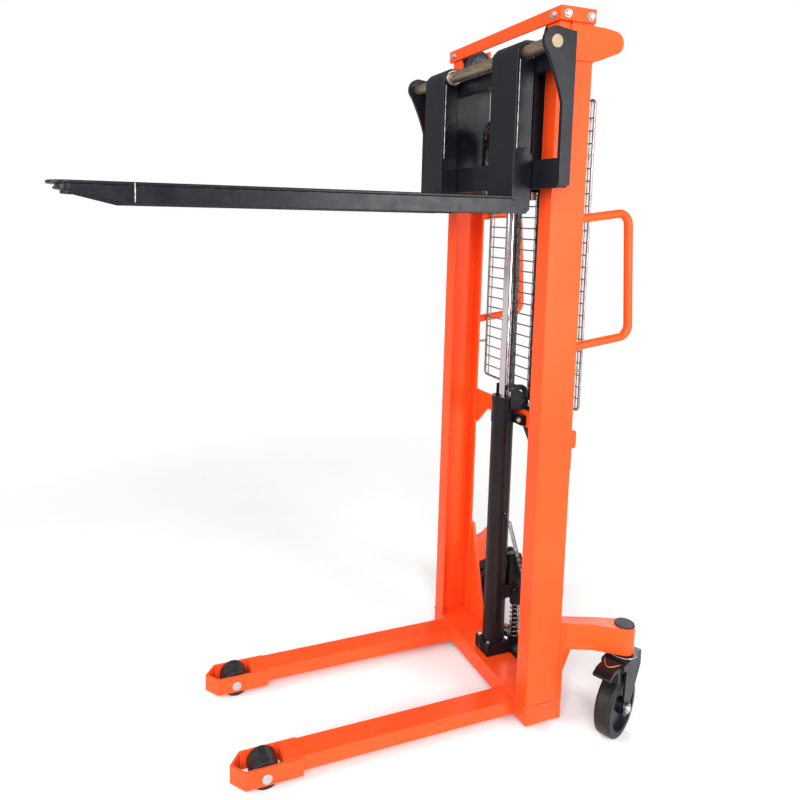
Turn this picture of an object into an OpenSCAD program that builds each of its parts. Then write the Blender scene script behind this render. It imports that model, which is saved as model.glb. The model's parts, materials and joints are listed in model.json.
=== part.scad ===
// Manual hydraulic stacker: twin channel mast, straddling legs, chain lifted fork carriage.
// Axes: X across the machine, the forks and legs point to -Y, the operator stands on +Y, Z is up.
// Modules measure heights from the floor. The finished parts are lowered so that the origin is in
// the middle of the flat underside of the cross box under the mast. The carriage is drawn raised.

/* [Mast] */
// Height of the mast above the floor
mast_height = 2080; // [1980:5:2200]
// Half of the width over the outer faces of both mast channels
mast_half = 294; // [290:1:300]
// Depth of a mast channel, front to rear
mast_depth = 112; // [110:1:116]
// Width of a mast channel's flange
flange_width = 56; // [50:1:58]
// Thickness of the mast channel's web and flanges
mast_wall = 8; // [6:1:8]

/* [Base and legs] */
// Height of the underside of the cross box under the mast
base_bottom = 26; // [22:1:30]
// Height of the top of the cross box
base_top = 84; // [80:1:88]
// Distance of a leg's middle from the machine's centre plane
leg_x = 199.5; // [197:0.5:202]
// Width of a leg tube
leg_width = 71; // [69:1:71]
// Distance of a load roller's axle in front of the mast's middle
load_roller_y = 821; // [780:1:860]
// Diameter of a load roller
load_roller_d = 80; // [76:1:80]

/* [Forks] */
// Height of the fork blade's top face as drawn
fork_height = 1581; // [1500:1:1600]
// Length of a fork from its upright's front face to its tip
fork_length = 1150; // [900:10:1200]
// Width of a fork
fork_width = 130; // [128:1:132]
// Distance of a fork's middle from the centre plane as drawn
fork_x = 208; // [206:1:210]
// Height of the fork blade, top face to lower edge
blade_height = 48; // [44:1:50]

/* [Carriage] */
// Half of the width over the carriage's side plates
carriage_half = 400; // [398:1:420]
// Diameter of the fork shaft
shaft_d = 34; // [30:1:36]
// Distance of the fork shaft in front of the mast's middle
shaft_y = 138; // [136:1:140]
// Diameter of a carriage roller
carriage_roller_d = 94; // [90:1:95]

/* [Lift cylinder and chains] */
// Outer diameter of the cylinder tube
tube_d = 70; // [66:1:72]
// Height of the top of the cylinder's gland
gland_top = 954; // [940:1:960]
// Diameter of the piston rod
rod_d = 30; // [26:1:32]
// Distance of the cylinder's axis behind the mast's middle
cylinder_y = 10; // [8:1:12]
// Height of the chain sheaves' axle as drawn
sheave_z = 1770; // [1765:1:1775]
// Pitch radius of the chain on a sheave
chain_radius = 65; // [63:1:66]
// Distance of each chain from the centre plane
chain_x = 60; // [58:1:62]

/* [Casters] */
// Diameter of a rear wheel
caster_wheel_d = 190; // [180:2:200]
// Width of a rear wheel
caster_wheel_w = 50; // [46:1:50]
// Distance of a caster's swivel axis from the centre plane
swivel_x = 357; // [350:1:362]
// Distance of a caster's swivel axis behind the mast's middle
swivel_y = 234; // [228:1:240]
// Distance of the rear wheel's axle from the swivel axis
caster_trail = 34; // [32:1:40]
// Turn of the right caster from straight ahead as drawn, in degrees
right_turn = 26; // [0:1:30]
// Turn of the left caster from straight ahead as drawn, in degrees
left_turn = 10; // [0:1:30]

/* [Hidden] */
$fn = 48;

paint = "orangered";
black = "#26262c";
steel = "#a9adb2";
zinc = "#c9ccd0";
bare = "#8d7f66";
rubber = "#141416";

// Running clearance on a radius
fit = 0.05;
// Small gap between faces that slide or turn past each other
gap = 0.5;
// A bent tube's straight pieces reach this far into its bends, which are a little thicker
lap = 1;
bend_swell = 0.3;

half_depth = mast_depth / 2;
inner_face = mast_half - mast_wall;
flange_edge = mast_half - flange_width;

// Beam that joins the mast tops at the front
beam_height = 37;
beam_thick = 8;
ear_thick = 6;
bolt_head_d = 17;
bolt_head_h = 8;

// Legs and load roller pockets
leg_top = 72;
leg_bottom = 29;
leg_wall = 5;
leg_front = load_roller_y - 49;
pocket_half = 42.5;
pocket_wall = 7;
pocket_bottom = 19.5;
pocket_top = 70;
pocket_rear = 721;
pocket_front = 879;
pocket_tip = 912;
load_roller_w = 66;
load_axle_d = 20;

// Carriage
carriage_plate = 12;
crossbar_front = 108;
crossbar_rear = 79;
strip_front = 113;
strip_bottom = 1606;
shaft_z = 1960;
boss_r = 37;
roller_plate_x = 214;
roller_plate_t = 12;
upper_roller_z = 2025;
lower_roller_z = 1642;
carriage_roller_w = 30;
carriage_roller_x = 240;
stud_d = 30;

// Forks
fork_front = 168;
fork_plate = 10;
fork_side = 6;
fork_top_plate = 8;
fork_rear = 110;
fork_taper_start = 1150;
fork_taper_end = 1268;
nose_height = 12;
blade_bottom = fork_height - blade_height;
blade_underside = fork_height - fork_top_plate;
fork_tip = fork_front + fork_length;

// Cylinder, ram and chains
gland_d = 74;
gland_h = 22;
block_top = 124;
rod_bottom = 906;
piston_h = 26;
tube_wall = 6;
chain_depth = 16;
chain_width = 24;
axle_d = 25;
rear_anchor_z = 945;
front_anchor_z = 1665;
sheave_w = 28;
sheave_rim = 6;
crosshead_h = 50;

// Pump
pump_y = 92;
pump_spring_d = 34;
spring_wire = 4.6;
spring_bottom = 117;
spring_top = 233;
plunger_d = 18;
rocker_y = 62;
rocker_z = 300;
pin_d = 16;
stud_z = 568;
hose_x = 20;
hose_y = 79;
hook_x = 41;
hook_y = 89;
hook_z = 341;
hook_d = 8;
release_x = -56;
release_y = 129;
release_z = 108;

// Casters
wheel_r = caster_wheel_d / 2;
rim_r = wheel_r - 22;
swivel_top = 246;
arm_top = 327;
housing_r = 31;
cap_d = 58;
caster_axle_d = 20;
fork_plate_t = 6;
fork_gap = 4;
brake_y = -60;
brake_z = 232;
brake_pin_d = 8;

// Wire guard behind the mast
guard_y = 98;
guard_half = 262;
guard_inner = 244;
guard_bottom = 965;
guard_top = 1855;
guard_pitch = 35;
guard_column = 80;
frame_wire = 8;
mesh_wire = 4.5;
guard_corner = 14;

// Grab handles
handle_d = 25;
handle_x = 280;

// Children on the right (side 1) or mirrored to the left (side -1)
module mirrored(side) {
    mirror([side < 0 ? 1 : 0, 0, 0]) children();
}

// Cylinder along X from x1 to x2
module rod_x(x1, x2, y, z, d) {
    translate([x1, y, z]) rotate([0, 90, 0]) cylinder(h = x2 - x1, d = d);
}

// Cylinder along Y from y1 to y2
module rod_y(y1, y2, x, z, d) {
    translate([x, y1, z]) rotate([-90, 0, 0]) cylinder(h = y2 - y1, d = d);
}

// Box from one corner to the opposite one
module block(low, high) {
    translate(low) cube(high - low);
}

// Plate in the YZ plane: an outline of [y, z] points, from x to x + t
module side_plate(x, t) {
    translate([x, 0, 0]) rotate([90, 0, 90]) linear_extrude(height = t) children();
}

function unit(v) = v / norm(v);
function corner_cut(a, b, c, r) =
    let (u = unit(a - b), w = unit(c - b), half = acos(u * w) / 2) r / tan(half);
function turn_sign(a, b, c) =
    let (u = b - a, w = c - b) u[0] * w[1] - u[1] * w[0] > 0 ? 1 : -1;

// Round tube along a flat path of [x, y] points, with bends of radius r
module bent_rod(path, r, d) {
    last = len(path) - 1;
    for (i = [0 : last - 1]) {
        u = unit(path[i + 1] - path[i]);
        cut_a = i == 0 ? 0 : corner_cut(path[i - 1], path[i], path[i + 1], r);
        cut_b = i == last - 1 ? 0 : corner_cut(path[i], path[i + 1], path[i + 2], r);
        a = path[i] + u * cut_a;
        b = path[i + 1] - u * cut_b;
        lap_a = i == 0 ? 0 : lap;
        lap_b = i == last - 1 ? 0 : lap;
        translate([a[0], a[1], 0]) rotate([0, 0, atan2(u[1], u[0])])
            translate([-lap_a, 0, 0]) rotate([0, 90, 0]) cylinder(h = norm(b - a) + lap_a + lap_b, d = d);
    }
    for (i = [1 : last - 1]) {
        a = path[i - 1];
        b = path[i];
        c = path[i + 1];
        s = turn_sign(a, b, c);
        u = unit(b - a);
        w = unit(c - b);
        start = b - u * corner_cut(a, b, c, r);
        centre = start + s * r * [-u[1], u[0]];
        from = atan2(u[1], u[0]) - s * 90;
        sweep = acos(u * w);
        translate([centre[0], centre[1], 0]) rotate([0, 0, s > 0 ? from : from - sweep])
            rotate_extrude(angle = sweep) translate([r, 0]) circle(d = d + bend_swell);
    }
}

// ---- Frame ----

module base_frame() {
    wall = 7;
    shelf_half = 118;
    shelf_rear = 142;
    color(paint) {
        difference() {
            block([-mast_half, -half_depth, base_bottom], [mast_half, half_depth, base_top]);
            block([-mast_half + wall, -half_depth + wall, base_bottom - 1],
                  [mast_half - wall, half_depth - wall, base_top - wall]);
        }
        block([-shelf_half, -half_depth + 1, base_bottom], [shelf_half, half_depth - 1, base_bottom + wall]);
        block([-shelf_half, half_depth, base_top - 24], [shelf_half, shelf_rear, base_top]);
    }
}

module mast(side) {
    color(paint) mirrored(side) {
        difference() {
            block([flange_edge, -half_depth, base_top], [mast_half, half_depth, mast_height]);
            block([flange_edge - 1, -half_depth + mast_wall, base_top - 1],
                  [inner_face, half_depth - mast_wall, mast_height + 1]);
        }
    }
}

module leg(side) {
    low_x = leg_x - leg_width / 2;
    high_x = leg_x + leg_width / 2;
    color(paint) mirrored(side) {
        difference() {
            block([low_x, -leg_front, leg_bottom], [high_x, -half_depth, leg_top]);
            block([low_x + leg_wall, -leg_front + leg_wall, leg_bottom + leg_wall],
                  [high_x - leg_wall, -half_depth + 1, leg_top - leg_wall]);
        }
        difference() {
            translate([0, 0, pocket_bottom]) linear_extrude(height = pocket_top - pocket_bottom)
                difference() {
                    pocket_outline(pocket_half, pocket_front, pocket_tip);
                    pocket_outline(pocket_half - pocket_wall, pocket_front - 2, pocket_tip - 8);
                }
            rod_x(leg_x - pocket_half - 1, leg_x + pocket_half + 1,
                  -load_roller_y, load_roller_d / 2, load_axle_d + 2 * fit);
        }
    }
}

// Plan of a load roller pocket: straight sides and a pointed front, open to the rear
module pocket_outline(half, front, tip) {
    polygon([[leg_x - half, -pocket_rear], [leg_x - half, -front], [leg_x, -tip],
             [leg_x + half, -front], [leg_x + half, -pocket_rear]]);
}

module load_roller_axles() {
    head_h = 4;
    color(zinc) for (side = [-1, 1]) mirrored(side) {
        rod_x(leg_x - pocket_half, leg_x + pocket_half, -load_roller_y, load_roller_d / 2, load_axle_d);
        rod_x(leg_x + pocket_half, leg_x + pocket_half + head_h,
              -load_roller_y, load_roller_d / 2, load_axle_d + 8);
        rod_x(leg_x - pocket_half - head_h, leg_x - pocket_half,
              -load_roller_y, load_roller_d / 2, load_axle_d + 8);
    }
}

module load_roller(side) {
    half_w = load_roller_w / 2;
    color(black) mirrored(side) difference() {
        rod_x(leg_x - half_w, leg_x + half_w, -load_roller_y, load_roller_d / 2, load_roller_d);
        rod_x(leg_x - half_w - 1, leg_x + half_w + 1, -load_roller_y, load_roller_d / 2,
              load_axle_d + 2 * fit);
        for (x = [leg_x - half_w - 1, leg_x + half_w - 4])
            translate([x, -load_roller_y, load_roller_d / 2]) rotate([0, 90, 0]) difference() {
                cylinder(h = 5, d = 58);
                translate([0, 0, -1]) cylinder(h = 7, d = 40);
            }
    }
}

// Rear plate, splayed box arm and swivel housing of one caster
module caster_arm(side) {
    plate_rear = half_depth + 12;
    start_inner = 252;
    bend = [330, 148];
    bend_inner = [296, 178];
    arm_h = arm_top - swivel_top;
    gusset_low = 160;
    gusset_rear = 104;
    color(paint) mirrored(side) {
        translate([0, plate_rear, 0]) rotate([90, 0, 0]) linear_extrude(height = plate_rear - half_depth)
            polygon([[mast_half, base_bottom], [134, base_bottom], [144, base_top + 2],
                     [flange_edge, 416], [262, 416], [262, arm_top + 3], [mast_half, arm_top + 3]]);
        difference() {
            union() {
                translate([0, 0, swivel_top]) linear_extrude(height = arm_h) union() {
                    polygon([[start_inner, plate_rear], [mast_half, plate_rear], bend,
                             [380, 213], [335, 256], bend_inner]);
                    translate([swivel_x, swivel_y]) circle(r = housing_r);
                }
            }
            translate([swivel_x, swivel_y, swivel_top - 1]) cylinder(h = arm_h + 2, d = cap_d - 8);
        }
        side_plate(mast_half - 14, 8)
            polygon([[plate_rear, gusset_low], [plate_rear, swivel_top], [gusset_rear, swivel_top]]);
    }
}

module caster_caps() {
    color(black) for (side = [-1, 1]) mirrored(side)
        translate([swivel_x, swivel_y, 0]) {
            translate([0, 0, arm_top]) cylinder(h = 5, d = cap_d);
            translate([0, 0, arm_top - 14]) cylinder(h = 14, d = cap_d - 8);
        }
}

module top_beam() {
    low_z = mast_height - beam_height;
    outer = mast_half + ear_thick + beam_thick;
    cheek_rear = half_depth - 6;
    color(paint) {
        block([-outer, -half_depth - beam_thick, low_z], [outer, -half_depth, mast_height]);
        for (side = [-1, 1]) mirrored(side)
            block([outer - beam_thick, -half_depth, low_z], [outer, cheek_rear, mast_height]);
    }
}

// Plates on the channels' outer faces that run back as rounded lugs
module mast_ears() {
    ear_bottom = 1946;
    lug_y = 122;
    lug_z = 2003;
    lug_r = 31;
    color(paint) for (side = [-1, 1]) mirrored(side) side_plate(mast_half, ear_thick) {
        translate([-20, ear_bottom]) square([half_depth + 14, mast_height - 2 - ear_bottom]);
        translate([lug_y, lug_z]) circle(r = lug_r);
        polygon([[half_depth - 10, ear_bottom], [half_depth - 10, 2040], [95, 2038],
                 [lug_y + 4, lug_z + lug_r - 0.5], [lug_y + 12, lug_z - 28], [72, 1950],
                 [half_depth, ear_bottom]]);
    }
}

// Bars that join the channels at the rear, at the top and at the cylinder's head, with end tabs
module rear_ties() {
    tie = 8;
    mid_top = 915;
    mid_bottom = 862;
    color(paint) {
        block([-inner_face, half_depth, 1945], [inner_face, half_depth + tie, 1962]);
        translate([0, half_depth + tie, 0]) rotate([90, 0, 0]) linear_extrude(height = tie) polygon([
            [-inner_face, mid_top], [inner_face, mid_top], [inner_face, 797], [flange_edge, 797],
            [172, mid_bottom], [-172, mid_bottom], [-flange_edge, 797], [-inner_face, 797]]);
        for (side = [-1, 1]) mirrored(side) side_plate(mast_half - 14, 8)
            polygon([[half_depth, mid_bottom], [half_depth, mid_top], [72, mid_top], [76, mid_top - 8],
                     [76, mid_bottom + 8], [72, mid_bottom]]);
    }
}

module frame_bolts() {
    cheek = mast_half + ear_thick + beam_thick;
    bolt_z = mast_height - 20;
    color(zinc) {
        for (side = [-1, 1]) mirrored(side) {
            for (y = [-42, 32]) rod_x(cheek, cheek + bolt_head_h, y, bolt_z, bolt_head_d);
            rod_y(-half_depth - beam_thick - bolt_head_h, -half_depth - beam_thick,
                  mast_half - 18, bolt_z, bolt_head_d);
            rod_y(half_depth - bolt_head_h - 18, half_depth - 18, 52, 884, bolt_head_d - 2);
        }
        for (x = [-26, 26], y = [-24, 44])
            translate([x, y, block_top]) cylinder(h = 7, d = 13);
    }
}

// Bent tube with its ends cut flush with the channel's rear flange
module grab_handle(side) {
    inside = half_depth - 8;
    color(paint) mirrored(side) difference() {
        translate([handle_x, 0, 0]) rotate([90, 0, 90])
            bent_rod([[inside, 1523], [222, 1545], [247, 1186], [inside, 1159]], 34, handle_d);
        block([handle_x - handle_d, inside - 10, 1120], [handle_x + handle_d, half_depth, 1560]);
    }
}

module mesh_guard() {
    columns = floor(guard_inner / guard_column);
    rows = floor((guard_top - guard_bottom) / guard_pitch);
    rung_y = guard_y - mesh_wire / 2 - 0.05;
    column_y = guard_y + mesh_wire / 2 + 0.05;
    r = guard_corner;
    $fn = 20;
    color(zinc) {
        translate([0, guard_y, 0]) rotate([90, 0, 0])
            bent_rod([[0, guard_bottom], [guard_half, guard_bottom], [guard_half, guard_top],
                      [-guard_half, guard_top], [-guard_half, guard_bottom], [0, guard_bottom]],
                     r, frame_wire);
        for (i = [1 : rows - 1])
            rod_x(-guard_half, guard_half, rung_y, guard_bottom + i * guard_pitch, mesh_wire);
        for (i = [-columns : columns])
            translate([i * guard_column, column_y, guard_bottom])
                cylinder(h = guard_top - guard_bottom, d = mesh_wire);
        for (side = [-1, 1]) {
            translate([side * guard_inner, column_y, guard_bottom])
                cylinder(h = guard_top - guard_bottom, d = mesh_wire);
            for (z = [1085, 1700]) rod_y(half_depth, guard_y, side * guard_half, z, frame_wire);
        }
    }
}

// ---- Cylinder and chains ----

// Tube, the return spring's stud and the two ears that carry the rocker pin
module cylinder_tube() {
    color(black) translate([0, cylinder_y, block_top]) difference() {
        cylinder(h = gland_top - gland_h - block_top, d = tube_d);
        translate([0, 0, 10]) cylinder(h = gland_top, d = tube_d - 2 * tube_wall);
    }
    color(zinc) rod_x(tube_d / 2 - 2, tube_d / 2 + 12, cylinder_y, stud_z, 8);
    color(black) for (side = [-1, 1]) mirrored(side) difference() {
        side_plate(30, 8) {
            translate([rocker_y, rocker_z]) circle(r = 18);
            polygon([[cylinder_y, rocker_z - 24], [rocker_y, rocker_z - 18],
                     [rocker_y, rocker_z + 18], [cylinder_y, rocker_z + 24]]);
        }
        rod_x(29, 39, rocker_y, rocker_z, pin_d);
    }
}

module cylinder_gland() {
    color(black) translate([0, cylinder_y, gland_top - gland_h]) difference() {
        union() {
            cylinder(h = gland_h, d = gland_d);
            translate([0, 0, -18]) cylinder(h = 19, d = tube_d - 2 * tube_wall - 2 * fit);
        }
        translate([0, 0, -20]) cylinder(h = gland_h + 22, d = rod_d + 2 * fit);
    }
}

// Return hose: an arch from the gland over the middle tie bar, then sideways and down to the pump
module oil_hose() {
    hose_d = 18;
    low_x = 66;
    arch_z = 982;
    deck = spring_bottom - 14;
    color(rubber) {
        translate([hose_x, 0, 0]) rotate([90, 0, 90])
            bent_rod([[26, gland_top], [26, arch_z], [hose_y, arch_z], [hose_y, 900]], 20, hose_d);
        translate([0, hose_y, 0]) rotate([90, 0, 0])
            bent_rod([[hose_x, 900 + lap], [hose_x, 868], [low_x, 812], [low_x, deck + 20]], 24, hose_d);
    }
    color(zinc) translate([low_x, hose_y, deck]) cylinder(h = 20, d = 22, $fn = 6);
}

// Saddle that holds the cylinder's head to the middle tie bar
module cylinder_clamp() {
    low_z = 868;
    high_z = 900;
    color(black) difference() {
        union() {
            translate([0, cylinder_y, low_z]) cylinder(h = high_z - low_z, d = gland_d);
            block([-66, half_depth - 18, low_z], [66, half_depth - 8, high_z]);
            block([-66, half_depth - 8, low_z], [-40, half_depth, high_z]);
            block([40, half_depth - 8, low_z], [66, half_depth, high_z]);
        }
        translate([0, cylinder_y, low_z - 1]) cylinder(h = high_z - low_z + 2, d = tube_d);
    }
}

// Two rounded plates beside the cylinder's head and a cross plate that holds the chains' fixed ends
module chain_bracket() {
    plate_x = 40;
    plate_t = 5;
    foot_z = 915;
    cross_z = 930;
    color(black) {
        for (side = [-1, 1]) mirrored(side) side_plate(plate_x, plate_t) intersection() {
            translate([half_depth - 46, foot_z]) circle(r = 70, $fn = 96);
            translate([half_depth - 46, foot_z]) square([74, 74]);
        }
        block([-chain_x - 14, half_depth + 6, foot_z], [-plate_x - plate_t, 88, cross_z]);
        block([plate_x + plate_t, half_depth + 6, foot_z], [chain_x + 14, 88, cross_z]);
    }
}

module rear_chains() {
    y = cylinder_y + chain_radius;
    color(steel) for (side = [-1, 1]) {
        x = side * chain_x;
        block([x - chain_width / 2, y - chain_depth / 2, rear_anchor_z],
              [x + chain_width / 2, y + chain_depth / 2, sheave_z]);
        translate([x, y, 930]) cylinder(h = rear_anchor_z - 930, d = 12);
    }
}

module sheave_chains() {
    color(steel) for (side = [-1, 1])
        translate([side * chain_x - chain_width / 2, cylinder_y, sheave_z]) rotate([90, 0, 90])
            rotate_extrude(angle = 180) translate([chain_radius - chain_depth / 2, 0])
                square([chain_depth, chain_width]);
}

module front_chains() {
    y = cylinder_y - chain_radius;
    color(steel) for (side = [-1, 1]) {
        x = side * chain_x;
        block([x - chain_width / 2, y - chain_depth / 2, front_anchor_z],
              [x + chain_width / 2, y + chain_depth / 2, sheave_z]);
    }
}

module chain_anchors() {
    y = cylinder_y - chain_radius;
    color(zinc) for (side = [-1, 1]) {
        x = side * chain_x;
        translate([x, y, front_anchor_z - 62]) cylinder(h = 62, d = 12);
        translate([x, y, front_anchor_z - 40]) cylinder(h = 10, d = 22, $fn = 6);
    }
}

module piston_rod() {
    color(zinc) translate([0, cylinder_y, rod_bottom])
        cylinder(h = sheave_z - crosshead_h / 2 - rod_bottom, d = rod_d);
}

module piston() {
    color(steel) translate([0, cylinder_y, rod_bottom - piston_h]) difference() {
        cylinder(h = piston_h, d = tube_d - 2 * tube_wall - 2 * fit);
        translate([0, 0, 10]) difference() {
            cylinder(h = 6, d = tube_d);
            translate([0, 0, -1]) cylinder(h = 8, d = tube_d - 2 * tube_wall - 6);
        }
    }
}

module crosshead() {
    arm = 44;
    color(black) {
        block([-arm, cylinder_y - 22, sheave_z - crosshead_h / 2],
              [arm, cylinder_y + 22, sheave_z + crosshead_h / 2]);
        for (side = [-1, 1]) mirrored(side) {
            rod_x(arm, chain_x + 18, cylinder_y, sheave_z, axle_d);
            rod_x(chain_x + 18, chain_x + 24, cylinder_y, sheave_z, axle_d + 10);
        }
    }
}

module sheaves() {
    root_r = chain_radius - chain_depth / 2 - gap;
    half_w = sheave_w / 2;
    color(steel) for (side = [-1, 1])
        translate([side * chain_x, cylinder_y, sheave_z]) rotate([0, 90, 0]) rotate_extrude()
            polygon([[axle_d / 2 + fit, -half_w], [root_r + sheave_rim, -half_w],
                     [root_r + sheave_rim, -chain_width / 2 - gap], [root_r, -chain_width / 2 - gap],
                     [root_r, chain_width / 2 + gap], [root_r + sheave_rim, chain_width / 2 + gap],
                     [root_r + sheave_rim, half_w], [axle_d / 2 + fit, half_w]]);
}

// ---- Carriage ----

// Quadratic curve from a to c, pulled towards b
function curve(a, b, c, n) = [for (i = [0 : n]) let (t = i / n)
    a * (1 - t) * (1 - t) + b * 2 * t * (1 - t) + c * t * t];

module carriage_side() {
    rear = -crossbar_rear;
    difference() {
        union() {
            translate([-shaft_y, shaft_z]) circle(r = boss_r);
            polygon(concat([[rear, strip_bottom], [rear, shaft_z + 29], [-shaft_y, shaft_z + boss_r]],
                curve([-shaft_y - boss_r, shaft_z - 6], [-shaft_y + 4, shaft_z - 78],
                      [-strip_front, shaft_z - 148], 12),
                [[-strip_front, strip_bottom]]));
        }
        translate([-shaft_y, shaft_z]) circle(d = shaft_d + 2 * fit);
    }
}

module roller_plate() {
    rear = 46;
    top_r = 48;
    union() {
        translate([rear - top_r, upper_roller_z]) circle(r = top_r);
        polygon([[-crossbar_rear, 1594], [-crossbar_rear, 1972], [rear - 2 * top_r, 1990],
                 [rear - 2 * top_r, upper_roller_z], [rear, upper_roller_z], [rear, 1594]]);
    }
}

module carriage_frame() {
    half = carriage_half - carriage_plate;
    lug_y = cylinder_y - chain_radius;
    color(black) {
        block([-half, -crossbar_front, 1601], [half, -crossbar_rear, 1677]);
        block([-half, -crossbar_front, 1908], [half, -crossbar_rear, 1950]);
        for (side = [-1, 1]) mirrored(side) {
            side_plate(half, carriage_plate) carriage_side();
            difference() {
                side_plate(roller_plate_x, roller_plate_t) roller_plate();
                for (z = [upper_roller_z, lower_roller_z])
                    rod_x(roller_plate_x - 1, roller_plate_x + roller_plate_t + 1, 0, z, stud_d - 8);
            }
            difference() {
                block([chain_x - 18, -crossbar_rear, front_anchor_z - 30],
                      [chain_x + 18, lug_y + 16, front_anchor_z - 14]);
                translate([chain_x, lug_y, front_anchor_z - 40]) cylinder(h = 40, d = 12);
            }
        }
    }
}

module fork_shaft() {
    color(bare) rod_x(-carriage_half - 2, carriage_half + 2, -shaft_y, shaft_z, shaft_d);
}

// Stop collar inboard of each fork
module shaft_collars() {
    collar_w = 11;
    fork_inner = fork_x - fork_width / 2 - gap;
    color(zinc) for (side = [-1, 1]) mirrored(side) difference() {
        rod_x(fork_inner - collar_w, fork_inner, -shaft_y, shaft_z, shaft_d + 14);
        rod_x(fork_inner - collar_w - 1, fork_inner + 1, -shaft_y, shaft_z, shaft_d);
    }
}

module roller_studs() {
    color(steel) for (side = [-1, 1], z = [upper_roller_z, lower_roller_z]) mirrored(side) {
        rod_x(roller_plate_x - 3, roller_plate_x + roller_plate_t, 0, z, stud_d - 8);
        rod_x(roller_plate_x + roller_plate_t, carriage_roller_x - 3, 0, z, stud_d + 12);
        rod_x(carriage_roller_x - 3, carriage_roller_x + carriage_roller_w + 3, 0, z, stud_d);
    }
}

module carriage_roller(side, z) {
    color(steel) mirrored(side) difference() {
        rod_x(carriage_roller_x, carriage_roller_x + carriage_roller_w, 0, z, carriage_roller_d);
        rod_x(carriage_roller_x - 1, carriage_roller_x + carriage_roller_w + 1, 0, z, stud_d + 2 * fit);
        translate([carriage_roller_x - 1, 0, z]) rotate([0, 90, 0]) difference() {
            cylinder(h = 4, d = carriage_roller_d - 18);
            translate([0, 0, -1]) cylinder(h = 6, d = stud_d + 16);
        }
    }
}

// Slide blocks that keep the carriage square between the channels
module guide_pads() {
    color(steel) for (side = [-1, 1]) mirrored(side)
        block([roller_plate_x - 10, -crossbar_rear, 1572], [roller_plate_x + 18, -60, 1594]);
}

// ---- Forks ----

module blade_outline(half, tip) {
    translate([0, -fork_taper_end]) scale_ellipse(half, tip - fork_taper_end);
    polygon([[-half, -fork_taper_end], [half, -fork_taper_end], [half, -fork_front + 1],
             [-half, -fork_front + 1]]);
}

// Half ellipse towards -Y, as a polygon
module scale_ellipse(a, b) {
    polygon([for (i = [0 : 24]) let (t = 180 + i * 180 / 24) [a * cos(t), b * sin(t)]]);
}

module fork(side) {
    half = fork_width / 2;
    lug_r = 28;
    nose_low = fork_height - nose_height - 8;
    color(black) mirrored(side) translate([fork_x, 0, 0]) {
        translate([0, 0, blade_underside]) linear_extrude(height = fork_top_plate)
            blade_outline(half, fork_tip);
        translate([0, 0, nose_low]) linear_extrude(height = blade_underside - nose_low) difference() {
            translate([0, -fork_taper_end]) scale_ellipse(half, fork_tip - fork_taper_end - 18);
            translate([0, -fork_taper_end + 1])
                scale_ellipse(half - fork_side, fork_tip - fork_taper_end - 24);
        }
        block([-half, -fork_front, blade_underside], [half, -fork_front + fork_plate, shaft_z + 12]);
        for (x = [-half, half - fork_side]) difference() {
            side_plate(x, fork_side) {
                polygon([[-fork_taper_end, nose_low], [-fork_taper_end, blade_underside],
                         [-fork_front + fork_plate, blade_underside],
                         [-fork_front + fork_plate, shaft_z + 8],
                         [-shaft_y, shaft_z + lug_r], [-fork_rear, shaft_z + lug_r - 8],
                         [-fork_rear, blade_bottom + 12], [-fork_rear - 12, blade_bottom],
                         [-fork_taper_start, blade_bottom]]);
            }
            rod_x(x - 1, x + fork_side + 1, -shaft_y, shaft_z, shaft_d + 2 * fit);
        }
        for (x = [-half + fork_side, half - 2 * fork_side])
            side_plate(x, fork_side) polygon([[-fork_rear - 20, 1680], [-fork_rear - 20, 1740],
                [-fork_rear, 1722], [-fork_rear + 22, 1680]]);
    }
}

// ---- Casters ----

// Children placed on a caster's swivel axis and turned with the caster
module at_swivel(side) {
    turn = side > 0 ? right_turn : -left_turn;
    mirrored(side) translate([swivel_x, swivel_y, 0]) rotate([0, 0, turn]) children();
}

module caster_fork(side) {
    half = caster_wheel_w / 2 + fork_gap;
    color(black) at_swivel(side) {
        translate([0, 0, swivel_top - 8]) cylinder(h = 8 - gap, d = 84);
        translate([0, 0, swivel_top - gap - 1]) cylinder(h = 60, d = cap_d - 8 - 2 * fit);
        block([-half - fork_plate_t, -46, swivel_top - 16], [half + fork_plate_t, 56, swivel_top - 8]);
        for (s = [-1, 1]) mirror([s < 0 ? 1 : 0, 0, 0]) difference() {
            side_plate(half, fork_plate_t) {
                translate([-caster_trail, wheel_r]) circle(r = 24);
                polygon([[-caster_trail - 24, wheel_r], [-46, swivel_top - 16], [56, swivel_top - 16],
                         [58, swivel_top - 52], [-caster_trail + 24, wheel_r]]);
                polygon([[-46, swivel_top - 32], [brake_y - 8, brake_z - 8], [brake_y - 8, brake_z + 6],
                         [-46, swivel_top - 8]]);
            }
            rod_x(half - 1, half + fork_plate_t + 1, -caster_trail, wheel_r, caster_axle_d + 2 * fit);
            rod_x(half - 1, half + fork_plate_t + 1, brake_y, brake_z, brake_pin_d + 2 * fit);
        }
    }
}

module caster_axle(side) {
    half = caster_wheel_w / 2 + fork_gap + fork_plate_t;
    color(zinc) at_swivel(side) {
        rod_x(-half, half, -caster_trail, wheel_r, caster_axle_d);
        rod_x(half, half + 7, -caster_trail, wheel_r, caster_axle_d + 10);
        rod_x(-half - 7, -half, -caster_trail, wheel_r, caster_axle_d + 10);
    }
}

module caster_hub(side) {
    color(steel) at_swivel(side) translate([0, -caster_trail, wheel_r]) rotate([0, 90, 0])
        rotate_extrude() polygon([[caster_axle_d / 2 + fit, -29 + gap], [22, -29 + gap], [24, -12],
            [rim_r - 8, -10], [rim_r, -22], [rim_r, 22], [rim_r - 8, 10], [24, 12], [22, 29 - gap],
            [caster_axle_d / 2 + fit, 29 - gap]]);
}

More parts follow.
